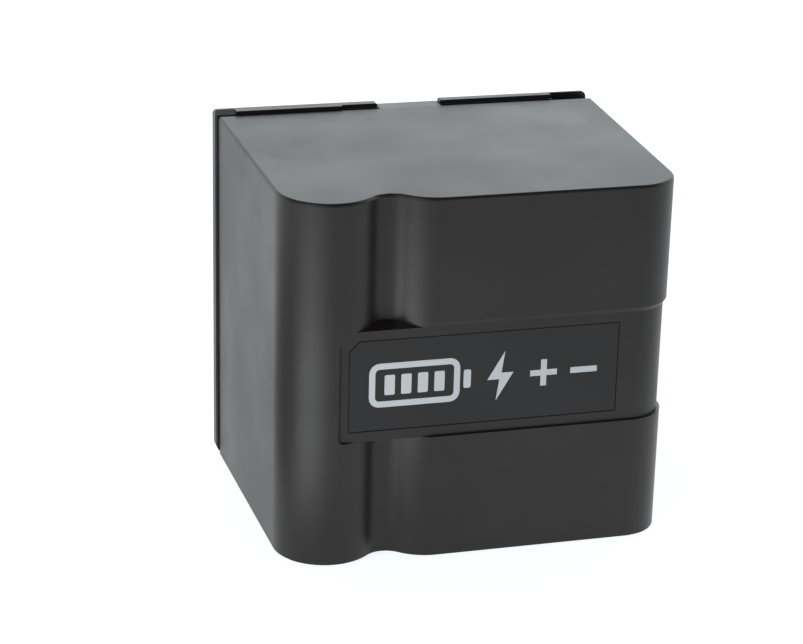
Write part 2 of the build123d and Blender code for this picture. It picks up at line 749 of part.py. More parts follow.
def contact_boxes(grow, depth0, depth1):
    """Boxes for the two power contacts, then the data contacts, each grown by a clearance."""
    half_h = CONTACT_HEIGHT / 2 + grow
    places = [(-POWER_CONTACT_X, POWER_CONTACT_WIDTH), (POWER_CONTACT_X, POWER_CONTACT_WIDTH)]
    first = -DATA_CONTACT_PITCH * (DATA_CONTACT_COUNT - 1) / 2
    places += [(first + DATA_CONTACT_PITCH * i, DATA_CONTACT_WIDTH) for i in range(DATA_CONTACT_COUNT)]
    boxes = []
    for x, width in places:
        half_w = width / 2 + grow
        boxes.append(block(x - half_w, x + half_w, depth0, depth1, CONTACT_Z - half_h, CONTACT_Z + half_h))
    return boxes


def contact_carrier():
    """The insulating block that frames the contacts."""
    half_w, half_h = CARRIER_WIDTH / 2, CARRIER_HEIGHT / 2
    nose = block(-half_w, half_w, BOARD_REAR, CARRIER_REAR, CONTACT_Z - half_h, CONTACT_Z + half_h)
    nose = fillet(nose.edges().filter_by(Axis.Y), CARRIER_RADIUS)
    half_w, half_h = half_w + CARRIER_FLANGE, half_h + CARRIER_FLANGE
    flange = block(-half_w, half_w, BOARD_REAR, CAP_INNER - PLAY, CONTACT_Z - half_h, CONTACT_Z + half_h)
    body = nose + fillet(flange.edges().filter_by(Axis.Y), CARRIER_RADIUS)
    for box in contact_boxes(0.0, BOARD_REAR - 1, OVERALL_DEPTH):
        body = body - box
    return body


def contact_pads():
    """The plated contact blocks with their rear edges rounded."""
    pads = []
    for box in contact_boxes(0.0, BOARD_REAR, CONTACT_REAR):
        rear = box.faces().sort_by(Axis.Y)[-1]
        pads.append(fillet(rear.outer_wire().edges(), CONTACT_FILLET))
    return pads


# ---------------------------------------------------------------- charge gauge


def light_places():
    """The x values of the charge lights."""
    return [LIGHT_FIRST_X + LIGHT_PITCH * i for i in range(LIGHT_COUNT)]


def light_prong(x, grow, depth0, depth1):
    """One light window's prong with round ends."""
    half_w, half_h = LIGHT_WIDTH / 2 + grow, LIGHT_HEIGHT / 2 + grow
    prong = block(x - half_w, x + half_w, depth0, depth1, GAUGE_Z - half_h, GAUGE_Z + half_h)
    return fillet(prong.edges().filter_by(Axis.Y), half_h - 0.05)


def light_guide():
    """The clear bar that brings the light of the four lamps to the cap's face."""
    places = light_places()
    left, right = places[0] - LIGHT_BAR_MARGIN, places[-1] + LIGHT_BAR_MARGIN
    low, high = GAUGE_Z - LIGHT_BAR_HALF_HEIGHT, GAUGE_Z + LIGHT_BAR_HALF_HEIGHT
    bar = block(left, right, BOARD_REAR + LIGHT_BAR_LIFT, CAP_INNER - PLAY, low, high)
    prongs = [light_prong(x, 0.0, CAP_INNER - 0.3, LIGHT_REAR) for x in places]
    return joined([bar] + prongs)


def gauge_leds():
    """Four surface-mounted lamps under the light guide."""
    return grouped([on_board(x, GAUGE_Z, *LED_SIZE) for x in light_places()])


def gauge_button():
    """The push button with its retaining flange and finger hollow."""
    stem = rod_y(BUTTON_X, GAUGE_Z, BUTTON_RADIUS, CAP_INNER - 0.4, BUTTON_REAR)
    rim = stem.edges().filter_by(GeomType.CIRCLE).sort_by(Axis.Y)[-1]
    stem = fillet(rim, BUTTON_RIM_FILLET)
    rear = CAP_INNER - PLAY
    flange = rod_y(BUTTON_X, GAUGE_Z, BUTTON_FLANGE_RADIUS, rear - BUTTON_FLANGE_THICKNESS, rear)
    centre = BUTTON_REAR + BUTTON_DISH_RADIUS - BUTTON_DISH_DEPTH
    dish = Pos(BUTTON_X, at(centre), GAUGE_Z) * Sphere(BUTTON_DISH_RADIUS)
    return stem + flange - dish


def button_switch():
    """The tactile switch's frame on the board."""
    left, right = BUTTON_X - SWITCH_HALF, BUTTON_X + SWITCH_HALF
    low, high = GAUGE_Z - SWITCH_HALF, GAUGE_Z + SWITCH_HALF
    body = block(left, right, BOARD_REAR, BOARD_REAR + SWITCH_HEIGHT, low, high)
    body = chamfer(body.edges().filter_by(Axis.Y), SWITCH_CHAMFER)
    return body - rod_y(BUTTON_X, GAUGE_Z, SWITCH_HOLE_RADIUS, BOARD_REAR - 1, BOARD_REAR + 2)


def switch_plunger():
    """The switch's plunger, which the button pushes."""
    rear = CAP_INNER - PLAY - BUTTON_FLANGE_THICKNESS
    return rod_y(BUTTON_X, GAUGE_Z, PLUNGER_RADIUS, BOARD_REAR + BUTTON_TRAVEL + FIT_CLEARANCE, rear)


# ---------------------------------------------------------------- management board


def management_board():
    """The circuit board behind the cap."""
    plate = block(-BOARD_HALF_WIDTH, BOARD_HALF_WIDTH, BOARD_FRONT, BOARD_REAR, BOARD_LOW, BOARD_HIGH)
    plate = fillet(plate.edges().filter_by(Axis.Y), 1.0)
    for x in (-PEG_X, PEG_X):
        plate = plate - rod_y(x, PEG_Z, PEG_RADIUS + FIT_CLEARANCE, BOARD_FRONT - 1, BOARD_REAR + 1)
    return plate


def board_insulator():
    """The sheet between the cells and the board, slotted for the thermistor's lead."""
    half, front, rear = BOARD_SHEET_HALF_WIDTH, BOARD_SHEET_FRONT, BOARD_SHEET_REAR
    plate = block(-half, half, front, rear, BOARD_SHEET_LOW, BOARD_SHEET_HIGH)
    left, right = CELL_CENTRE_X - 0.5, CELL_CENTRE_X + 0.5
    return plate - block(left, right, front - 1, rear + 1, THERMISTOR_LOW, THERMISTOR_HIGH)


def on_board(x, z, width, height, thickness):
    """A flat component on the board's rear face."""
    left, right, low, high = x - width / 2, x + width / 2, z - height / 2, z + height / 2
    return block(left, right, BOARD_REAR, BOARD_REAR + thickness, low, high)


def charge_transistors():
    """Four power transistors beside the contacts."""
    sides = (-TRANSISTOR_X, TRANSISTOR_X)
    return grouped([on_board(x, z, *TRANSISTOR_SIZE) for x in sides for z in TRANSISTOR_HEIGHTS])


def gauge_chip():
    """The fuel-gauge chip with its rows of leads."""
    body = on_board(CHIP_X, CHIP_Z, *CHIP_SIZE)
    first = CHIP_Z - CHIP_LEAD_PITCH * (CHIP_LEAD_COUNT - 1) / 2
    leads = []
    for i in range(CHIP_LEAD_COUNT):
        leads.append(on_board(CHIP_X, first + CHIP_LEAD_PITCH * i, *CHIP_LEAD_SIZE))
    return joined([body] + leads)


def board_capacitors():
    """Ceramic capacitors and resistors."""
    parts = []
    for first, pitch, count, z in (CAPACITOR_ROW_LOW, CAPACITOR_ROW_HIGH):
        for i in range(count):
            parts.append(on_board(first + pitch * i, z, *CAPACITOR_SIZE))
    return grouped(parts)


# ---------------------------------------------------------------- cells and links


def cell_place(column, row):
    """Centre of a cell as (x, depth)."""
    x = CELL_CENTRE_X + CELL_PITCH_X * (column - (CELL_COLUMNS - 1) / 2)
    return x, FIRST_ROW_DEPTH + CELL_PITCH_Y * row


def cell(column, row):
    """One lithium cell, with its groove and raised positive end, inverted in every second column."""
    r, length = CELL_RADIUS, CELL_LENGTH
    shoulder = length - NIPPLE_HEIGHT
    points = [
        (0, 0),
        (r - CAN_ROUND, 0),
        (r, CAN_ROUND),
        (r, length - GROOVE_START),
        (r - GROOVE_DEPTH, length - GROOVE_START + GROOVE_DEPTH),
        (r - GROOVE_DEPTH, length - GROOVE_END - GROOVE_DEPTH),
        (r, length - GROOVE_END),
        (r, shoulder - CAN_ROUND),
        (r - CAN_ROUND, shoulder),
        (NIPPLE_RADIUS + 0.3, shoulder),
        (NIPPLE_RADIUS, length),
        (0, length),
    ]
    section = make_face(Polyline([(px, 0, pz) for px, pz in points], close=True))
    body = revolve(section, Axis.Z)
    x, depth = cell_place(column, row)
    if column % 2:
        body = Rot(180, 0, 0) * body
        return Pos(x, at(depth), CELL_Z + length) * body
    return Pos(x, at(depth), CELL_Z) * body


def cell_rings():
    """Paper rings round the positive ends."""
    rings = []
    for column in range(CELL_COLUMNS):
        for row in range(CELL_ROWS):
            x, depth = cell_place(column, row)
            above = CELL_Z + CELL_LENGTH - NIPPLE_HEIGHT
            below = CELL_Z + NIPPLE_HEIGHT - RING_THICKNESS
            low = below if column % 2 else above
            disc = rod_z(x, depth, RING_OUTER_RADIUS, low, low + RING_THICKNESS)
            rings.append(disc - rod_z(x, depth, RING_INNER_RADIUS, low - 1, low + 1))
    return grouped(rings)


def tray(z, post_z):
    """A tray plate with a hole at each cell end and round posts between the cells."""
    plate = plan_prism(plan_face(WALL + 0.3, TRAY_REAR, 0.0), z, z + TRAY_PLATE)
    for column in range(CELL_COLUMNS):
        for row in range(CELL_ROWS):
            x, depth = cell_place(column, row)
            plate = plate - rod_z(x, depth, TRAY_HOLE_RADIUS, z - 1, z + 2)
    posts = []
    for column in range(CELL_COLUMNS - 1):
        for row in range(CELL_ROWS - 1):
            x, depth = cell_place(column + 0.5, row + 0.5)
            posts.append(rod_z(x, depth, TRAY_POST_RADIUS, post_z, post_z + TRAY_POST_HEIGHT))
    return joined([plate] + posts)


def link(columns, z, pad_low, pad_high, tab_x, tab_z):
    """A nickel strip over some columns, with a raised pad at each cell and a tab bent on to the board."""
    left = cell_place(columns[0], 0)[0] - LINK_MARGIN
    right = cell_place(columns[-1], 0)[0] + LINK_MARGIN
    front = cell_place(0, 0)[1] - LINK_MARGIN
    rear = cell_place(0, CELL_ROWS - 1)[1] + LINK_MARGIN
    strip = block(left, right, front, rear, z, z + STRIP_THICKNESS)
    strip = fillet(strip.edges().filter_by(Axis.Z), LINK_CORNER_RADIUS)
    pieces = [strip]
    for column in columns:
        for row in range(CELL_ROWS):
            x, depth = cell_place(column, row)
            pieces.append(rod_z(x, depth, LINK_PAD_RADIUS, pad_low, pad_high))
    tab_left, tab_right = tab_x - LINK_TAB_HALF_WIDTH, tab_x + LINK_TAB_HALF_WIDTH
    pieces.append(block(tab_left, tab_right, rear - 1, BOARD_FRONT, z, z + STRIP_THICKNESS))
    low, high = min(z, tab_z), max(z + STRIP_THICKNESS, tab_z)
    pieces.append(block(tab_left, tab_right, BOARD_FRONT - STRIP_THICKNESS, BOARD_FRONT, low, high))
    solid = joined(pieces)
    for column in columns:
        for row in range(CELL_ROWS):
            x, depth = cell_place(column, row)
            half_w, half_l = LINK_SLOT_HALF_WIDTH, LINK_SLOT_HALF_LENGTH
            solid = solid - block(x - half_w, x + half_w, depth - half_l, depth + half_l, z - 2, z + 2)
    return solid


def sheet(z0, z1):
    """An insulating sheet with the plan of the trays."""
    return plan_prism(plan_face(WALL + 0.5, SHEET_REAR, 0.0), z0, z1)


def foam(rear, z0, z1):
    """A foam pad that holds the cells from below or above."""
    return block(-FOAM_HALF_WIDTH, FOAM_HALF_WIDTH, FOAM_FRONT, rear, z0, z1)


def thermistor():
    """The temperature sensor between the four middle cells, with its flat lead to the board."""
    x, depth = cell_place(1.5, 1.5)
    bead = rod_z(x, depth, BEAD_RADIUS, THERMISTOR_LOW, THERMISTOR_HIGH)
    left, right = x - LEAD_HALF_THICKNESS, x + LEAD_HALF_THICKNESS
    lead = block(left, right, depth, BOARD_FRONT, LEAD_LOW, LEAD_HIGH)
    return bead + lead


# ---------------------------------------------------------------- all nodes


def all_nodes():
    """Every separate piece by name."""
    pads = contact_pads()
    lower_pads = (LOWER_TRAY_Z - LINK_PAD_RISE, CELL_Z)
    upper_pads = (UPPER_TRAY_Z, UPPER_STRIP_Z + LINK_PAD_RISE)
    low_tab, high_tab = BOARD_LOW + TAB_REACH, BOARD_HIGH - TAB_REACH
    nodes = {
        "housing": housing(),
        "rear_cap": rear_cap(),
        "cap_seal": cap_seal(),
        "cap_screws": cap_screws(),
        "front_label": front_label(),
        "rear_label": rear_label(),
        "contact_carrier": contact_carrier(),
        "power_contacts": grouped(pads[:2]),
        "data_contacts": grouped(pads[2:]),
        "gauge_button": gauge_button(),
        "switch_plunger": switch_plunger(),
        "button_switch": button_switch(),
        "light_guide": light_guide(),
        "gauge_leds": gauge_leds(),
        "management_board": management_board(),
        "board_insulator": board_insulator(),
        "charge_transistors": charge_transistors(),
        "gauge_chip": gauge_chip(),
        "sense_resistor": on_board(*RESISTOR_PLACE, *RESISTOR_SIZE),
        "board_fuse": on_board(*FUSE_PLACE, *FUSE_SIZE),
        "board_capacitors": board_capacitors(),
        "cell_rings": cell_rings(),
        "lower_cell_tray": tray(LOWER_TRAY_Z, LOWER_TRAY_Z),
        "upper_cell_tray": tray(UPPER_TRAY_Z, UPPER_STRIP_Z - TRAY_POST_HEIGHT),
        "negative_strip": link([0], LOWER_STRIP_Z, *lower_pads, -STRIP_TAB_X, low_tab),
        "bottom_link": link([1, 2], LOWER_STRIP_Z, *lower_pads, BOTTOM_TAB_X, low_tab),
        "positive_strip": link([3], LOWER_STRIP_Z, *lower_pads, STRIP_TAB_X, low_tab),
        "top_link_left": link([0, 1], UPPER_STRIP_Z, *upper_pads, -TOP_TAB_X, high_tab),
        "top_link_right": link([2, 3], UPPER_STRIP_Z, *upper_pads, TOP_TAB_X, high_tab),
        "lower_insulator": sheet(LOWER_INSULATOR_Z, LOWER_STRIP_Z),
        "upper_insulator": sheet(UPPER_INSULATOR_Z, UPPER_FOAM_Z),
        "lower_foam": foam(LOWER_FOAM_REAR, FLOOR, LOWER_FOAM_TOP),
        "upper_foam": foam(UPPER_FOAM_REAR, UPPER_FOAM_Z, UPPER_FOAM_TOP),
        "thermistor": thermistor(),
    }
    for column in range(CELL_COLUMNS):
        for row in range(CELL_ROWS):
            number = column * CELL_ROWS + row + 1
            nodes[f"cell_{number:02d}"] = cell(column, row)
    return nodes


os.makedirs("parts", exist_ok=True)
for name, shape in all_nodes().items():
    export_step(shape, f"parts/{name}.step")
    print(name, round(shape.volume, 1))
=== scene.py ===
"""Looks of a slide-in battery block for a tripod laser scanner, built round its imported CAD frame."""

import math

import bmesh
import bpy
import numpy as np
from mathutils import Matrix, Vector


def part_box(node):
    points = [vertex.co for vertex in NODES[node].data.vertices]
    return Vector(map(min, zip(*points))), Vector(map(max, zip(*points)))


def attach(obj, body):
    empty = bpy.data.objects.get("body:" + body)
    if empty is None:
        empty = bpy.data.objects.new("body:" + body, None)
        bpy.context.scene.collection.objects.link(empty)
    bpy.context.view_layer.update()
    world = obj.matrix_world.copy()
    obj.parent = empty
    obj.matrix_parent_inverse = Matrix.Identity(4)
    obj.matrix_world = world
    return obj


bl_info = {
    "name": "Scanner Battery Block",
    "version": (1, 0, 0),
    "blender": (4, 5, 0),
    "location": "3D View > Sidebar > Battery",
    "description": "Finishes the battery block's plastic, label, contacts, gauge, board and cells",
    "category": "Object",
}

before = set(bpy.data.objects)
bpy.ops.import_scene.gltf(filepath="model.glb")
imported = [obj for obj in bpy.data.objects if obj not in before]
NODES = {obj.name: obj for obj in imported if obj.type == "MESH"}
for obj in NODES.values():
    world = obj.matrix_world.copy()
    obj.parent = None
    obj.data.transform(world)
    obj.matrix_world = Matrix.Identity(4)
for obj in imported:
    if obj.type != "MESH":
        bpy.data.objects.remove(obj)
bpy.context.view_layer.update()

MM = 0.001
BLOCK = "block"
LABEL_LOW, LABEL_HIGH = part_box("front_label")
RATING_LOW, RATING_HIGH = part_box("rear_label")
CARRIER_LOW, CARRIER_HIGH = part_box("contact_carrier")
HOUSING_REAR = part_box("housing")[1][1]
SEAL_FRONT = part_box("cap_seal")[0][1]

# Meshes: points closer than WELD are one point, and the corners and edges of signs have so many rings.
WELD = 1e-7
CORNER_STEPS = 7
EDGE_RINGS = 4
SIGN_EDGE = 0.05 * MM

# Finishes that more than one function reads, or that need a name. Depths are those of the bump.
FINE_DEPTH = 0.03 * MM
BRUSHED_DEPTH = 0.02 * MM
TRACK_DEPTH = 0.04 * MM
PLASTIC_IOR = 1.43
DUST = (0.30, 0.30, 0.29, 1.0)
# The key tab is coloured lighter than the plastic round it.
LIGHTER_TAB = (0.070, 0.072, 0.075, 1.0)
BARE_NICKEL = (0.62, 0.60, 0.56, 1.0)
BOARD_GREEN = (0.012, 0.085, 0.035, 1.0)
TRACK_GREEN = (0.03, 0.19, 0.08, 1.0)
BLACK = (0.0, 0.0, 0.0, 1.0)
WHITE = (1.0, 1.0, 1.0, 1.0)

# The floor, with the middle of its bright pool and of the patch that is dim to everything but the camera.
FLOOR_REACH = 4.0
FLOOR_DROP = 0.1 * MM
FLOOR_RINGS = 33
FLOOR_SPOKES = 64
FLOOR_LIGHT = (0.93, 0.97, 1.0, 1.0)
POOL = (-0.115, -0.095, 0.0)
DIM = (-0.150, 0.020, 0.0)

# Smooth changes of light, each from one place to another and from one level to another.
FLOOR_DEPTHWISE = (-0.28, -0.09, 0.60, 0.85)
POOL_GLOW = (0.03, 0.09, 3.3, 0.0)
DIM_SHARE = (0.06, 0.105, 0.15, 1.0)
WALLS_BEHIND = (-0.1, 0.8, 0.30, 2.08)
WALLS_OVERHEAD = (0.35, 0.75, 1.0, 0.15)
WALLS_SIDEWAYS = (-0.3, 0.5, 0.80, 1.22)
WALLS_COLOUR = (0.90, 0.97, 1.0, 1.0)

# The two area lights: where each stands, its width and height, and the side light's share of the key's power.
BLOCK_MIDDLE = (0.0, 0.0, 0.04)
KEY_PLACE = (-0.75, -0.55, 0.75)
KEY_SIZE = (0.7, 0.9)
SIDE_PLACE = (0.9, -0.1, 0.5)
SIDE_SIZE = (0.5, 0.8)
SIDE_SHARE = 0.35

SENSOR_WIDTH = 36.0
NEAREST = 0.01

CELLS = sorted(name for name in NODES if name.startswith("cell_") and name[5:].isdigit())
LINKS = ("negative_strip", "bottom_link", "positive_strip", "top_link_left", "top_link_right")
SHEETS = ("lower_insulator", "upper_insulator", "board_insulator")


# ------------------------------------------------------------------ values a user would change


class BlockSettings(bpy.types.PropertyGroup):
    """Colours and sizes of the outside of the block."""

    plastic: bpy.props.FloatVectorProperty(
        name="Plastic colour",
        description="Colour of the moulded housing and cap",
        subtype="COLOR",
        size=3,
        default=(0.0122, 0.0093, 0.0083),
        min=0.0,
        max=1.0,
    )
    gloss: bpy.props.FloatProperty(
        name="Plastic roughness",
        description="Roughness of the satin moulded texture",
        subtype="FACTOR",
        default=0.39,
        min=0.0,
        max=1.0,
    )
    film: bpy.props.FloatVectorProperty(
        name="Label film",
        description="Colour of the front label's film",
        subtype="COLOR",
        size=3,
        default=(0.0078, 0.0072, 0.0068),
        min=0.0,
        max=1.0,
    )
    print_white: bpy.props.FloatVectorProperty(
        name="Print",
        description="Colour of the label's printed signs",
        subtype="COLOR",
        size=3,
        default=(0.54, 0.56, 0.58),
        min=0.0,
        max=1.0,
    )
    stroke: bpy.props.FloatProperty(
        name="Stroke",
        description="Width of the lines of the printed signs",
        subtype="DISTANCE",
        unit="LENGTH",
        default=1.25 * MM,
        min=0.2 * MM,
        max=3.0 * MM,
    )


class StudioSettings(bpy.types.PropertyGroup):
    """Camera, floor and light."""

    lens: bpy.props.FloatProperty(
        name="Lens",
        description="Focal length of the camera on a 36 mm sensor, in millimetres",
        default=108.18,
        min=10.0,
        max=400.0,
    )
    eye: bpy.props.FloatVectorProperty(
        name="Camera place",
        description="Where the camera stands",
        subtype="TRANSLATION",
        unit="LENGTH",
        size=3,
        default=(-0.13721, -0.45190, 0.21326),
    )
    turn: bpy.props.FloatVectorProperty(
        name="Camera turn",
        description="How the camera is turned, as XYZ angles",
        subtype="EULER",
        unit="ROTATION",
        size=3,
        default=tuple(math.radians(a) for a in (69.5946, -1.3114, -15.4336)),
    )
    floor: bpy.props.FloatVectorProperty(
        name="Floor",
        description="Colour of the pale floor",
        subtype="COLOR",
        size=3,
        default=(0.55, 0.57, 0.58),
        min=0.0,
        max=1.0,
    )
    key: bpy.props.FloatProperty(
        name="Key light",
        description="Power of the large soft light at the front left, in watts",
        default=4.5,
        min=0.0,
    )
    sky: bpy.props.FloatProperty(
        name="Surrounding light",
        description="Strength of the light from the pale studio",
        default=1.0,
        min=0.0,
    )


# ------------------------------------------------------------------ meshes


def put_mesh(name, points, quads, smooth=True):
    """A mesh object from an array of points and an array of faces, at the origin and unturned."""
    mesh = bpy.data.meshes.new(name)
    mesh.from_pydata(points.tolist(), [], [tuple(face) for face in quads.tolist()])
    mesh.validate()
    mesh.polygons.foreach_set("use_smooth", np.full(len(mesh.polygons), smooth))
    mesh.update()
    piece = bpy.data.objects.new(name, mesh)
    bpy.context.scene.collection.objects.link(piece)
    return piece


def ring_faces(rings, across):
    """Quads between rings of points, each ring closed on itself.

    Point j of ring i joins points j and j + 1 of ring i and of ring i + 1, with j + 1 taken round."""
    i, j = np.meshgrid(np.arange(rings - 1), np.arange(across), indexing="ij")
    k = (j + 1) % across
    quads = np.stack([i * across + j, i * across + k, (i + 1) * across + k, (i + 1) * across + j], axis=-1)
    return quads.reshape(-1, 4)


def rounded_outline(width, height, radius):
    """Outline of a rounded rectangle, anticlockwise: a corner's centre plus radius times the unit circle."""
    turn = np.linspace(0.0, np.pi / 2, CORNER_STEPS)
    corners = np.array([(1, 1), (-1, 1), (-1, -1), (1, -1)])
    starts = np.arange(4) * np.pi / 2
    centres = corners * (np.array([width, height]) / 2 - radius)
    angle = starts[:, None] + turn[None, :]
    arcs = centres[:, None, :] + radius * np.stack([np.cos(angle), np.sin(angle)], axis=-1)
    return arcs.reshape(-1, 2)


def pillow(outline, thick):
    """A closed flat sign with softly rounded edges, as points (across, up, out) and faces.

    Rings shrink towards the middle while they rise: out = thick * sin(t), inset = SIGN_EDGE * (1 - cos(t)),
    with t from 0 to a quarter turn. A first and a last ring of no size close the back and the top."""
    middle = outline.mean(axis=0)
    span = np.abs(outline - middle).max()
    t = np.linspace(0.0, np.pi / 2, EDGE_RINGS)
    shrink = 1.0 - SIGN_EDGE * (1.0 - np.cos(t)) / span
    out = thick * np.sin(t)
    scale = np.concatenate([[0.0], shrink, [0.5, 0.0]])
    rise = np.concatenate([[0.0], out, [thick, thick]])
    flat = middle + (outline - middle)[None, :, :] * scale[:, None, None]
    points = np.concatenate([flat, np.broadcast_to(rise[:, None, None], flat.shape[:2] + (1,))], axis=-1)
    return points.reshape(-1, 3), ring_faces(len(scale), len(outline))


def frame_band(outline, inner, thick):
    """A closed raised band between two outlines with the same number of points, as points and faces.

    Rings follow each other round its section: outer foot, outer top, inner top, inner foot, outer foot."""
    foot = np.zeros((len(outline), 1))
    top = np.full((len(outline), 1), thick)
    rings = [np.hstack([outline, foot]), np.hstack([outline, top]), np.hstack([inner, top])]
    rings += [np.hstack([inner, foot]), rings[0]]
    return np.concatenate(rings), ring_faces(len(rings), len(outline))


def sign_object(name, shapes, place):
    """Joins signs, each (points, faces), into one object. place turns (across, up, out) into x, y and z."""
    points, faces, base = [], [], 0
    for shape in shapes:
        points.append(shape[0])
        faces.append(shape[1] + base)
        base += len(shape[0])
    piece = put_mesh(name, place(np.concatenate(points)), np.concatenate(faces), smooth=False)
    tidy_mesh(piece)
    return piece


def tidy_mesh(piece, closed=True):
    """Merges doubled points, closes poles and, on a closed piece, turns every face outwards."""
    work = bmesh.new()
    work.from_mesh(piece.data)
    bmesh.ops.remove_doubles(work, verts=work.verts, dist=WELD)
    if closed:
        bmesh.ops.recalc_face_normals(work, faces=work.faces)
    work.to_mesh(piece.data)
    work.free()


def on_front(points):
    """Places signs on the front label: across is x, up is z, and out is towards -y."""
    return np.stack([points[:, 0], LABEL_LOW[1] - points[:, 2], points[:, 1]], axis=1)


def on_rear(y):
    """Places signs on a rear face at y: across is -x, up is z, and out is +y."""
    return lambda points: np.stack([-points[:, 0], y + points[:, 2], points[:, 1]], axis=1)


# ------------------------------------------------------------------ shader groups


def new_group(name, inputs, outputs):
    """An empty shader node group with named sockets."""
    group = bpy.data.node_groups.new(name, "ShaderNodeTree")
    for label, kind, value in inputs:
        socket = group.interface.new_socket(name=label, in_out="INPUT", socket_type=kind)
        if value is not None:
            socket.default_value = value
    for label, kind in outputs:
        group.interface.new_socket(name=label, in_out="OUTPUT", socket_type=kind)
    return group, group.nodes.new("NodeGroupInput"), group.nodes.new("NodeGroupOutput")


def maths(tree, operation, *values, clamp=False):
    """A Math node with its inputs linked or set."""
    node = tree.nodes.new("ShaderNodeMath")
    node.operation = operation
    node.use_clamp = clamp
    for index, value in enumerate(values):
        feed(tree, value, node.inputs[index])
    return node.outputs[0]


def feed(tree, value, socket):
    """Links a socket, or sets a plain value."""
    if isinstance(value, bpy.types.NodeSocket):
        tree.links.new(value, socket)
    else:
        socket.default_value = value


def noise(tree, vector, scale, detail=3.0, rough=0.5):
    """The value of a Noise node on a vector."""
    node = tree.nodes.new("ShaderNodeTexNoise")
    feed(tree, vector, node.inputs["Vector"])
    feed(tree, scale, node.inputs["Scale"])
    node.inputs["Detail"].default_value = detail
    node.inputs["Roughness"].default_value = rough
    return node.outputs["Fac"]


def blend_colour(tree, factor, first, second):
    """A mix of two colours."""
    node = tree.nodes.new("ShaderNodeMix")
    node.data_type = "RGBA"
    feed(tree, factor, node.inputs["Factor"])
    feed(tree, first, node.inputs["A"])
    feed(tree, second, node.inputs["B"])
    return node.outputs["Result"]


def spread(tree, value, low, high, to_low=0.0, to_high=1.0):
    """A value mapped smoothly: to_low at or below low, to_high at or above high."""
    node = tree.nodes.new("ShaderNodeMapRange")
    node.interpolation_type = "SMOOTHSTEP"
    for index, amount in enumerate((value, low, high, to_low, to_high)):
        feed(tree, amount, node.inputs[index])
    return node.outputs[0]


def moulded_group():
    """Spark-eroded mould texture: a fine pebble height, and masks of polished patches and of smudges."""
    group, start, end = new_group(
        "Moulded Texture",
        [("Vector", "NodeSocketVector", None), ("Pebble", "NodeSocketFloat", 2600.0)],
        [("Height", "NodeSocketFloat"), ("Patch", "NodeSocketFloat"), ("Smudge", "NodeSocketFloat")],
    )
    vector, pebble = start.outputs["Vector"], start.outputs["Pebble"]
    cells = group.nodes.new("ShaderNodeTexVoronoi")
    cells.feature = "SMOOTH_F1"
    group.links.new(vector, cells.inputs["Vector"])
    group.links.new(pebble, cells.inputs["Scale"])
    grit = noise(group, vector, maths(group, "MULTIPLY", pebble, 1.7), detail=2.0)
    height = maths(group, "ADD", cells.outputs["Distance"], maths(group, "MULTIPLY", grit, 0.6))
    patch = spread(group, noise(group, vector, 38.0, detail=4.0, rough=0.55), low=0.35, high=0.68)
    marks = spread(group, noise(group, vector, 95.0, detail=5.0, rough=0.6), low=0.56, high=0.74)
    areas = spread(group, noise(group, vector, 21.0, detail=2.0), low=0.45, high=0.62)
    group.links.new(height, end.inputs["Height"])
    group.links.new(patch, end.inputs["Patch"])
    group.links.new(maths(group, "MULTIPLY", marks, areas), end.inputs["Smudge"])
    return group


def speck_group():
    """Sparse dust specks: small spots around random points, kept only where a coarse noise is high."""
    group, start, end = new_group(
        "Dust Specks",
        [
            ("Vector", "NodeSocketVector", None),
            ("Spacing", "NodeSocketFloat", 420.0),
            ("Size", "NodeSocketFloat", 0.10),
        ],
        [("Mask", "NodeSocketFloat")],
    )
    dots = group.nodes.new("ShaderNodeTexVoronoi")
    group.links.new(start.outputs["Vector"], dots.inputs["Vector"])
    group.links.new(start.outputs["Spacing"], dots.inputs["Scale"])
    spot = maths(group, "LESS_THAN", dots.outputs["Distance"], start.outputs["Size"])
    keep = spread(group, noise(group, start.outputs["Vector"], 60.0, detail=2.0), low=0.58, high=0.62)
    group.links.new(maths(group, "MULTIPLY", spot, keep), end.inputs["Mask"])
    return group


def brushed_group():
    """Fine level lines, packed closely up z and drawn out along x and y, and a slow change of tint."""
    group, start, end = new_group(
        "Brushed Lines",
        [("Vector", "NodeSocketVector", None), ("Fine", "NodeSocketFloat", 2400.0)],
        [("Height", "NodeSocketFloat"), ("Tint", "NodeSocketFloat")],
    )
    node = group.nodes.new("ShaderNodeMapping")
    node.inputs["Scale"].default_value = (0.06, 0.06, 1.0)
    group.links.new(start.outputs["Vector"], node.inputs["Vector"])
    lines = noise(group, node.outputs["Vector"], start.outputs["Fine"], detail=2.0)
    broad = noise(group, start.outputs["Vector"], 180.0)
    group.links.new(lines, end.inputs["Height"])
    group.links.new(broad, end.inputs["Tint"])
    return group


def height_band(tree, axis, low, high, soft):
    """A mask that is one between two object coordinates of an axis, with soft ends."""
    split = tree.nodes.new("ShaderNodeSeparateXYZ")
    where = tree.nodes.new("ShaderNodeTexCoord")
    tree.links.new(where.outputs["Object"], split.inputs[0])
    rise = spread(tree, split.outputs[axis], low - soft, low)
    fall = spread(tree, split.outputs[axis], high, high + soft, 1.0, 0.0)
    return maths(tree, "MULTIPLY", rise, fall)


# ------------------------------------------------------------------ materials


def new_material(name):
    """A material with a Principled shader and Object coordinates, as (material, tree, shader, vector)."""
    material = bpy.data.materials.new(name)
    material.use_nodes = True
    tree = material.node_tree
    shader = tree.nodes["Principled BSDF"]
    where = tree.nodes.new("ShaderNodeTexCoord")
    return material, tree, shader, where.outputs["Object"]


def use_group(tree, group, vector, **values):
    """A group node in a material, with its inputs set."""
    node = tree.nodes.new("ShaderNodeGroup")
    node.node_tree = group
    tree.links.new(vector, node.inputs["Vector"])
    for label, value in values.items():
        node.inputs[label].default_value = value
    return node.outputs


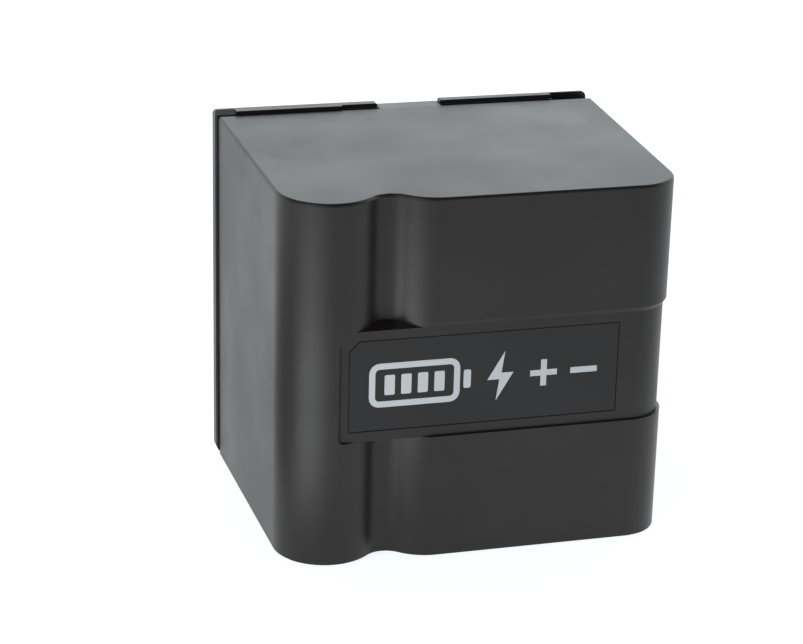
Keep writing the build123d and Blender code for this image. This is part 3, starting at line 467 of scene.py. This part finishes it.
def add_bump(tree, shader, height, strength, distance):
    """A Bump node from a height to the shader's normal."""
    bump = tree.nodes.new("ShaderNodeBump")
    bump.inputs["Strength"].default_value = strength
    bump.inputs["Distance"].default_value = distance
    tree.links.new(height, bump.inputs["Height"])
    tree.links.new(bump.outputs["Normal"], shader.inputs["Normal"])


def shared_group(name, make):
    """A node group that is built once."""
    return bpy.data.node_groups.get(name) or make()


def shade(colour, factor):
    """A colour made lighter or darker, with full alpha."""
    return tuple(min(1.0, part * factor) for part in colour[:3]) + (1.0,)


def moulded_plastic(name, colour, rough, pebble=2600.0, relief=0.22, dust=0.05, lighter_area=None):
    """Moulded plastic: pebble relief, faint polished patches, smudges, dust, and a lighter area if given."""
    material, tree, shader, vector = new_material(name)
    texture = use_group(tree, shared_group("Moulded Texture", moulded_group), vector, Pebble=pebble)
    dots = use_group(tree, shared_group("Dust Specks", speck_group), vector)
    base = blend_colour(tree, texture["Patch"], shade(colour, 0.86), shade(colour, 1.16))
    base = blend_colour(tree, maths(tree, "MULTIPLY", texture["Smudge"], 0.35), base, shade(colour, 2.4))
    base = blend_colour(tree, maths(tree, "MULTIPLY", dots["Mask"], dust), base, DUST)
    # Where a given area lies, the colour turns to the lighter tab colour.
    if lighter_area is not None:
        base = blend_colour(tree, lighter_area(tree), base, LIGHTER_TAB)
    tree.links.new(base, shader.inputs["Base Color"])
    level = maths(tree, "MULTIPLY_ADD", texture["Patch"], -0.05, rough + 0.02)
    level = maths(tree, "MULTIPLY_ADD", texture["Smudge"], 0.07, level, clamp=True)
    tree.links.new(level, shader.inputs["Roughness"])
    shader.inputs["IOR"].default_value = PLASTIC_IOR
    add_bump(tree, shader, texture["Height"], relief, FINE_DEPTH)
    return material


def metal(name, colour, rough, relief=0.15, fine=2400.0):
    """Brushed or plated metal: fine lines in its roughness and relief and a slow change of tint."""
    material, tree, shader, vector = new_material(name)
    lines = use_group(tree, shared_group("Brushed Lines", brushed_group), vector, Fine=fine)
    base = blend_colour(tree, lines["Tint"], shade(colour, 0.82), shade(colour, 1.12))
    level = maths(tree, "MULTIPLY_ADD", lines["Height"], 0.22, rough - 0.1, clamp=True)
    tree.links.new(base, shader.inputs["Base Color"])
    tree.links.new(level, shader.inputs["Roughness"])
    shader.inputs["Metallic"].default_value = 1.0
    add_bump(tree, shader, lines["Height"], relief, BRUSHED_DEPTH)
    return material


def paint(names, material):
    """Gives CAD nodes a material in place of their own."""
    for name in names:
        slots = NODES[name].data.materials
        slots.clear()
        slots.append(material)


def own(piece, body, material):
    """Finishes a new piece: its material and the body that it rides on."""
    piece.data.materials.append(material)
    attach(piece, body)
    return piece


def plain_texture(name, colour, rough, scale=900.0, tint=0.15, relief=0.15, transmission=0.0):
    """A finish whose tint, roughness and relief follow one noise, for resin, paper, foam and rubber."""
    material, tree, shader, vector = new_material(name)
    grain = noise(tree, vector, scale, detail=4.0, rough=0.6)
    slow = noise(tree, vector, scale / 12, detail=2.0)
    base = blend_colour(tree, slow, shade(colour, 1.0 - tint), shade(colour, 1.0 + tint))
    tree.links.new(base, shader.inputs["Base Color"])
    level = maths(tree, "MULTIPLY_ADD", grain, 0.12, rough - 0.06, clamp=True)
    tree.links.new(level, shader.inputs["Roughness"])
    shader.inputs["Transmission Weight"].default_value = transmission
    add_bump(tree, shader, grain, relief, FINE_DEPTH)
    return material


def sleeve_material(name, colour):
    """A cell: a glossy shrunk sleeve between bare nickel-plated ends."""
    material, tree, shader, vector = new_material(name)
    low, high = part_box(CELLS[0])[0][2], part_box(CELLS[0])[1][2]
    bare = 0.9 * MM
    sleeve = height_band(tree, "Z", low + bare, high - bare, soft=0.05 * MM)
    slow = noise(tree, vector, 70.0)
    film = blend_colour(tree, slow, shade(colour, 0.88), shade(colour, 1.1))
    base = blend_colour(tree, sleeve, BARE_NICKEL, film)
    tree.links.new(base, shader.inputs["Base Color"])
    tree.links.new(maths(tree, "SUBTRACT", 1.0, sleeve), shader.inputs["Metallic"])
    level = maths(tree, "MULTIPLY_ADD", slow, 0.1, 0.24, clamp=True)
    tree.links.new(level, shader.inputs["Roughness"])
    add_bump(tree, shader, noise(tree, vector, 500.0), 0.08, FINE_DEPTH)
    return material


def board_material(name):
    """A circuit board: green mask over copper tracks that show as slightly lighter, raised lines."""
    material, tree, shader, vector = new_material(name)
    tracks = tree.nodes.new("ShaderNodeTexBrick")
    tree.links.new(flat_vector(tree, vector), tracks.inputs["Vector"])
    for label, value in (("Scale", 260.0), ("Mortar Size", 0.035), ("Brick Width", 1.7), ("Row Height", 0.5)):
        tracks.inputs[label].default_value = value
    for label, colour in (("Color1", BLACK), ("Color2", BLACK), ("Mortar", WHITE)):
        tracks.inputs[label].default_value = colour
    area = spread(tree, noise(tree, vector, 55.0, detail=1.0), low=0.42, high=0.46)
    copper = maths(tree, "MULTIPLY", tracks.outputs["Color"], area)
    base = blend_colour(tree, copper, BOARD_GREEN, TRACK_GREEN)
    tree.links.new(base, shader.inputs["Base Color"])
    tree.links.new(maths(tree, "MULTIPLY_ADD", area, 0.08, 0.3), shader.inputs["Roughness"])
    add_bump(tree, shader, copper, 0.4, TRACK_DEPTH)
    return material


def flat_vector(tree, vector):
    """The vector's x and z as x and y, for a flat pattern on an upright face."""
    split = tree.nodes.new("ShaderNodeSeparateXYZ")
    join = tree.nodes.new("ShaderNodeCombineXYZ")
    tree.links.new(vector, split.inputs[0])
    tree.links.new(split.outputs["X"], join.inputs["X"])
    tree.links.new(split.outputs["Z"], join.inputs["Y"])
    return join.outputs[0]


# ------------------------------------------------------------------ printed signs


def battery_sign(centre, width, height, stroke, thick, bars):
    """A battery: a rounded frame, a stub on its right and upright charge bars inside.

    The frame is one stroke wide, and the bars stand one stroke inside it."""
    middle = np.array(centre)
    frame_radius, stub_radius, bar_radius = 1.7 * stroke, 0.3 * stroke, 0.25 * stroke
    outer = rounded_outline(width, height, frame_radius)
    inner = rounded_outline(width - 2 * stroke, height - 2 * stroke, 0.7 * stroke)
    shapes = [frame_band(outer + middle, inner + middle, thick)]
    stub_wide, stub_tall = 1.2 * stroke, 0.42 * height
    stub = rounded_outline(stub_wide, stub_tall, stub_radius)
    shapes.append(pillow(stub + middle + [width / 2 + stub_wide, 0.0], thick))
    room = width - 4 * stroke
    pitch = room / bars
    bar_wide, bar_tall = 0.62 * pitch, height - 4 * stroke
    bar = rounded_outline(bar_wide, bar_tall, bar_radius)
    for index in range(bars):
        across = -room / 2 + pitch * (index + 0.5)
        shapes.append(pillow(bar + middle + [across, 0.0], thick))
    return shapes


def bolt_sign(centre, height, thick):
    """A lightning bolt: three upper corners, in half heights, and the same three turned half round."""
    upper = np.array([(0.16, 1.0), (-0.52, -0.13), (-0.04, -0.13)])
    outline = np.concatenate([upper, -upper]) * height / 2 + np.array(centre)
    return [pillow(outline, thick)]


def plus_sign(centre, size, stroke, thick):
    """A plus: the twelve corners of a cross, from one arm's three corners turned by quarters."""
    reach, half = size / 2, stroke / 2
    arm = np.array([(reach, -half), (reach, half), (half, half)])
    turn = np.arange(4) * np.pi / 2
    cos, sin = np.cos(turn), np.sin(turn)
    spin = np.stack([np.stack([cos, -sin], -1), np.stack([sin, cos], -1)], 1)
    outline = np.einsum("kij,pj->kpi", spin, arm).reshape(-1, 2) + np.array(centre)
    return [pillow(outline, thick)]


def minus_sign(centre, size, stroke, thick):
    """A minus: one short bar."""
    return [pillow(rounded_outline(size, stroke, 0.1 * stroke) + np.array(centre), thick)]


# ------------------------------------------------------------------ operators


class BATTERY_OT_stage(bpy.types.Operator):
    """Makes the camera, the pale floor, the pale walls and the two soft lights"""

    bl_idname = "battery.stage"
    bl_label = "Stage"

    def execute(self, context):
        studio = context.scene.battery_studio
        lens = bpy.data.cameras.new("camera")
        lens.lens = studio.lens
        lens.sensor_width = SENSOR_WIDTH
        lens.clip_start = NEAREST
        camera = bpy.data.objects.new("camera", lens)
        camera.location = studio.eye
        camera.rotation_euler = studio.turn
        context.scene.collection.objects.link(camera)
        context.scene.camera = camera
        context.scene.view_settings.view_transform = "Standard"
        floor_piece(studio)
        studio_world(context.scene, studio)
        soft_light("key_light", KEY_PLACE, KEY_SIZE, studio.key)
        soft_light("side_light", SIDE_PLACE, SIDE_SIZE, studio.key * SIDE_SHARE)
        return {"FINISHED"}


def floor_piece(studio):
    """A round floor: radius grows with the square of the ring's number, so rings lie close in the middle."""
    share = np.linspace(0.0, 1.0, FLOOR_RINGS)
    angle = np.linspace(0.0, 2 * np.pi, FLOOR_SPOKES, endpoint=False)
    reach = FLOOR_REACH * share[:, None] ** 2
    level = np.full((FLOOR_RINGS, FLOOR_SPOKES), -FLOOR_DROP)
    flat = np.stack([reach * np.cos(angle), reach * np.sin(angle), level], axis=-1)
    floor = put_mesh("floor", flat.reshape(-1, 3), ring_faces(FLOOR_RINGS, FLOOR_SPOKES))
    tidy_mesh(floor, closed=False)
    floor.data.materials.append(floor_paper(tuple(studio.floor)))
    return floor


def floor_paper(colour):
    """Pale paper that gives off light of its own, as a table lit from below does.

    It is brighter further back and has a bright pool at the front left, which the bulge mirrors. A patch at
    the left is dim to the block and its reflections, and the camera sees it as pale as the rest."""
    material, tree, shader, vector = new_material("floor_paper")
    pale = colour + (1.0,)
    base = blend_colour(tree, noise(tree, vector, 4.0), shade(pale, 0.985), pale)
    tree.links.new(base, shader.inputs["Base Color"])
    shader.inputs["Roughness"].default_value = 0.9
    shader.inputs["Emission Color"].default_value = FLOOR_LIGHT
    split = tree.nodes.new("ShaderNodeSeparateXYZ")
    tree.links.new(vector, split.inputs[0])
    level = spread(tree, split.outputs["Y"], *FLOOR_DEPTHWISE)
    glow = spread(tree, distance(tree, vector, POOL), *POOL_GLOW)
    dim = spread(tree, distance(tree, vector, DIM), *DIM_SHARE)
    seen = tree.nodes.new("ShaderNodeLightPath").outputs["Is Camera Ray"]
    share = maths(tree, "MAXIMUM", dim, seen)
    lit = maths(tree, "MULTIPLY", maths(tree, "ADD", level, glow), share)
    tree.links.new(lit, shader.inputs["Emission Strength"])
    return material


def distance(tree, vector, place):
    """How far a vector is from a place, in metres."""
    node = tree.nodes.new("ShaderNodeVectorMath")
    node.operation = "DISTANCE"
    node.inputs[1].default_value = place
    tree.links.new(vector, node.inputs[0])
    return node.outputs["Value"]


def studio_world(scene, studio):
    """Pale walls: brightest low behind the block and on its right, dim in front and dark overhead."""
    world = bpy.data.worlds.new("studio")
    world.use_nodes = True
    tree = world.node_tree
    where = tree.nodes.new("ShaderNodeTexCoord")
    split = tree.nodes.new("ShaderNodeSeparateXYZ")
    tree.links.new(where.outputs["Generated"], split.inputs[0])
    behind = spread(tree, split.outputs["Y"], *WALLS_BEHIND)
    overhead = spread(tree, split.outputs["Z"], *WALLS_OVERHEAD)
    sideways = spread(tree, split.outputs["X"], *WALLS_SIDEWAYS)
    bright = maths(tree, "MULTIPLY", maths(tree, "MULTIPLY", behind, overhead), sideways)
    back = tree.nodes["Background"]
    back.inputs["Color"].default_value = WALLS_COLOUR
    tree.links.new(maths(tree, "MULTIPLY", bright, studio.sky), back.inputs["Strength"])
    scene.world = world


def soft_light(name, place, size, power):
    """A large area light that looks at the middle of the block."""
    lamp = bpy.data.lights.new(name, "AREA")
    lamp.shape = "RECTANGLE"
    lamp.size, lamp.size_y = size
    lamp.energy = power
    light = bpy.data.objects.new(name, lamp)
    light.location = place
    away = np.array(place) - np.array(BLOCK_MIDDLE)
    flat = math.hypot(away[0], away[1])
    light.rotation_euler = (math.atan2(flat, away[2]), 0.0, math.atan2(away[0], -away[1]))
    bpy.context.scene.collection.objects.link(light)


class BATTERY_OT_housing(bpy.types.Operator):
    """Finishes the moulded housing and the lighter tab that stands in the cap's notch"""

    bl_idname = "battery.housing"
    bl_label = "Housing"

    def execute(self, context):
        block = context.scene.battery_block
        soft = 0.3 * MM

        # The key tab in the cap's notch is coloured lighter than the rest of the housing.
        def tab(tree):
            return height_band(tree, "Y", SEAL_FRONT + soft, HOUSING_REAR, soft)

        paint(["housing"], moulded_plastic("housing_abs", block.plastic, block.gloss, lighter_area=tab))
        return {"FINISHED"}


class BATTERY_OT_cap(bpy.types.Operator):
    """Finishes the rear cap, its seal and its two screws"""

    bl_idname = "battery.cap"
    bl_label = "Rear cap"

    def execute(self, context):
        block = context.scene.battery_block
        paint(["rear_cap"], moulded_plastic("cap_abs", block.plastic, block.gloss + 0.02, pebble=2300.0))
        paint(["cap_seal"], plain_texture("seal_rubber", (0.006, 0.006, 0.006), 0.75, scale=700.0))
        paint(["cap_screws"], metal("black_oxide_steel", (0.06, 0.06, 0.065), 0.45))
        return {"FINISHED"}


class BATTERY_OT_front_label(bpy.types.Operator):
    """Finishes the front label's film and prints its plain signs"""

    bl_idname = "battery.front_label"
    bl_label = "Front label"

    def execute(self, context):
        block = context.scene.battery_block
        film = moulded_plastic("label_film", block.film, 0.40, pebble=3600.0, relief=0.10, dust=0.04)
        paint(["front_label"], film)
        thick = 0.02 * MM
        middle = (LABEL_LOW[2] + LABEL_HIGH[2]) / 2
        centre = (LABEL_LOW[0] + LABEL_HIGH[0]) / 2
        battery, bolt, plus, minus = ((centre + across * MM, middle) for across in (-14.4, 3.2, 12.2, 20.6))
        wide, tall, bolt_tall, small = 18.5 * MM, 9.2 * MM, 10.4 * MM, 5.6 * MM
        shapes = battery_sign(battery, wide, tall, block.stroke, thick, bars=4)
        shapes += bolt_sign(bolt, bolt_tall, thick)
        shapes += plus_sign(plus, small, block.stroke, thick)
        shapes += minus_sign(minus, small, block.stroke, thick)
        signs = sign_object("label_print", shapes, on_front)
        ink = plain_texture("white_ink", block.print_white, 0.5, scale=2200.0, tint=0.03, relief=0.1)
        own(signs, BLOCK, ink)
        return {"FINISHED"}


class BATTERY_OT_rear_label(bpy.types.Operator):
    """Finishes the rating label and prints plain signs on it"""

    bl_idname = "battery.rear_label"
    bl_label = "Rating label"

    def execute(self, context):
        paint(["rear_label"], metal("silver_film", (0.55, 0.56, 0.57), 0.42, relief=0.05, fine=1500.0))
        thick = 0.015 * MM
        middle = (RATING_LOW[2] + RATING_HIGH[2]) / 2
        wide = RATING_HIGH[0] - RATING_LOW[0]
        tall = RATING_HIGH[2] - RATING_LOW[2]
        rim = np.array([0.0, middle])
        outside, inside = 1.6 * MM, 2.1 * MM
        outer = rounded_outline(wide - outside, tall - outside, 1.0 * MM) + rim
        inner = rounded_outline(wide - inside, tall - inside, 0.75 * MM) + rim
        battery, bolt, plus, minus = ((across * MM, middle) for across in (-14.0, 0.0, 9.5, 17.5))
        battery_stroke, stroke, small = 0.6 * MM, 0.7 * MM, 4.0 * MM
        shapes = [frame_band(outer, inner, thick)]
        shapes += battery_sign(battery, 12.0 * MM, 6.0 * MM, battery_stroke, thick, bars=3)
        shapes += bolt_sign(bolt, 7.0 * MM, thick)
        shapes += plus_sign(plus, small, stroke, thick)
        shapes += minus_sign(minus, small, stroke, thick)
        signs = sign_object("rating_print", shapes, on_rear(RATING_HIGH[1]))
        own(signs, BLOCK, plain_texture("dark_ink", (0.02, 0.02, 0.025), 0.5, scale=2200.0))
        return {"FINISHED"}


class BATTERY_OT_contacts(bpy.types.Operator):
    """Finishes the contact carrier and the gold contacts, and marks their polarity"""

    bl_idname = "battery.contacts"
    bl_label = "Contacts"

    def execute(self, context):
        nylon = moulded_plastic("carrier_nylon", (0.008, 0.008, 0.009), 0.6, pebble=1900.0)
        paint(["contact_carrier"], nylon)
        paint(["power_contacts", "data_contacts"], metal("contact_gold", (0.83, 0.60, 0.24), 0.28))
        thick = 0.02 * MM
        middle = (CARRIER_LOW[2] + CARRIER_HIGH[2]) / 2
        aside, size, stroke = 16.0 * MM, 1.5 * MM, 0.35 * MM
        shapes = plus_sign((aside, middle), size, stroke, thick)
        shapes += minus_sign((-aside, middle), size, stroke, thick)
        signs = sign_object("polarity_marks", shapes, on_rear(CARRIER_HIGH[1]))
        own(signs, BLOCK, plain_texture("mark_ink", (0.7, 0.7, 0.68), 0.55, scale=2200.0))
        return {"FINISHED"}


class BATTERY_OT_gauge(bpy.types.Operator):
    """Finishes the charge gauge: lights, light guide, button and switch"""

    bl_idname = "battery.gauge"
    bl_label = "Charge gauge"

    def execute(self, context):
        paint(["gauge_button"], plain_texture("button_rubber", (0.03, 0.03, 0.031), 0.7, scale=1500.0))
        paint(["switch_plunger", "button_switch"], plain_texture("switch_nylon", (0.05, 0.05, 0.05), 0.5))
        frosted = {"scale": 1200.0, "tint": 0.04, "relief": 0.1, "transmission": 0.6}
        paint(["light_guide"], plain_texture("frosted_acrylic", (0.78, 0.84, 0.81), 0.4, **frosted))
        paint(["gauge_leds"], plain_texture("lamp_resin", (0.8, 0.78, 0.55), 0.3))
        return {"FINISHED"}


class BATTERY_OT_board(bpy.types.Operator):
    """Finishes the management board and what it carries"""

    bl_idname = "battery.board"
    bl_label = "Management board"

    def execute(self, context):
        paint(["management_board"], board_material("circuit_board"))
        paint(["charge_transistors", "gauge_chip"], plain_texture("chip_resin", (0.02, 0.02, 0.021), 0.6))
        paint(["sense_resistor"], plain_texture("resistor_lacquer", (0.03, 0.03, 0.03), 0.35))
        paint(["board_fuse"], plain_texture("fuse_ceramic", (0.78, 0.76, 0.70), 0.3, scale=600.0, tint=0.04))
        paint(["board_capacitors"], plain_texture("capacitor_ceramic", (0.36, 0.24, 0.15), 0.5))
        return {"FINISHED"}


class BATTERY_OT_cells(bpy.types.Operator):
    """Finishes the twelve cells, their rings and the two trays"""

    bl_idname = "battery.cells"
    bl_label = "Cells"

    def execute(self, context):
        paint(CELLS, sleeve_material("cell_sleeve", (0.03, 0.10, 0.28)))
        paint(["cell_rings"], plain_texture("ring_paper", (0.8, 0.8, 0.76), 0.85, scale=1400.0, tint=0.05))
        tray = moulded_plastic("tray_nylon", (0.03, 0.03, 0.032), 0.5, pebble=1700.0)
        paint(["lower_cell_tray", "upper_cell_tray"], tray)
        return {"FINISHED"}


class BATTERY_OT_links(bpy.types.Operator):
    """Finishes the nickel links, the insulating sheets, the foam and the temperature sensor"""

    bl_idname = "battery.links"
    bl_label = "Links and packing"

    def execute(self, context):
        paint(LINKS, metal("rolled_nickel", (0.62, 0.59, 0.54), 0.3))
        paint(SHEETS, plain_texture("fish_paper", (0.42, 0.46, 0.38), 0.8, scale=1100.0, tint=0.08))
        foam = plain_texture("cell_foam", (0.03, 0.03, 0.033), 0.9, scale=800.0, tint=0.2, relief=0.5)
        paint(["lower_foam", "upper_foam"], foam)
        paint(["thermistor"], plain_texture("dipped_resin", (0.06, 0.03, 0.02), 0.25))
        return {"FINISHED"}


class BATTERY_PT_panel(bpy.types.Panel):
    """Lists the block's settings and its operators"""

    bl_idname = "BATTERY_PT_panel"
    bl_label = "Battery Block"
    bl_space_type = "VIEW_3D"
    bl_region_type = "UI"
    bl_category = "Battery"

    def draw(self, context):
        layout = self.layout
        for settings in (context.scene.battery_block, context.scene.battery_studio):
            column = layout.column()
            for name in settings.__annotations__:
                column.prop(settings, name)
        for operator in OPERATORS:
            layout.operator(operator.bl_idname)


SETTINGS = (BlockSettings, StudioSettings)
OPERATORS = (
    BATTERY_OT_stage,
    BATTERY_OT_housing,
    BATTERY_OT_cap,
    BATTERY_OT_front_label,
    BATTERY_OT_rear_label,
    BATTERY_OT_contacts,
    BATTERY_OT_gauge,
    BATTERY_OT_board,
    BATTERY_OT_cells,
    BATTERY_OT_links,
)


def register():
    """Registers the settings, the operators and the panel."""
    for each in SETTINGS + OPERATORS + (BATTERY_PT_panel,):
        bpy.utils.register_class(each)
    bpy.types.Scene.battery_block = bpy.props.PointerProperty(type=BlockSettings)
    bpy.types.Scene.battery_studio = bpy.props.PointerProperty(type=StudioSettings)


def unregister():
    """Takes everything that register added away again."""
    del bpy.types.Scene.battery_studio
    del bpy.types.Scene.battery_block
    for each in reversed(SETTINGS + OPERATORS + (BATTERY_PT_panel,)):
        bpy.utils.unregister_class(each)


def main():
    """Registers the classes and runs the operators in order."""
    register()
    for operator in OPERATORS:
        group, name = operator.bl_idname.split(".")
        getattr(getattr(bpy.ops, group), name)()


if __name__ == "__main__":
    main()
